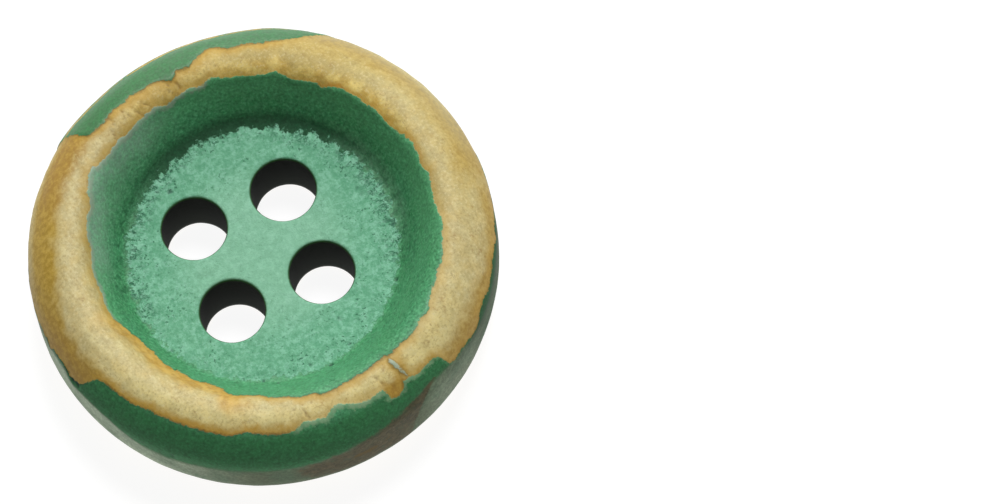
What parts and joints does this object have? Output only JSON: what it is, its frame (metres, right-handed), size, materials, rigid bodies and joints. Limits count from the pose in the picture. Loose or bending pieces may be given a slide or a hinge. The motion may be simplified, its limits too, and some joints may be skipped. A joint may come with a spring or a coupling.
{
  "type": "wooden sewing button",
  "caption": "Round turned wooden sewing button with a dished face inside a thick rounded rim, thread holes through the middle, and green paint worn to bare wood on the rim.",
  "frame": {"origin": "centre of the back, at its lowest point, on the turning axis", "axes": "+Z along the turning axis, out of the dished front face; +X and +Y are parallel to the two rows of thread holes"},
  "size_m": [0.02, 0.02, 0.0055],
  "materials": {
    "painted_wood": "matt green paint over pale wood, rubbed through to bare wood along the rim"
  },
  "bodies": {
    "root": {"button": "painted_wood"}
  },
  "joints": []
}
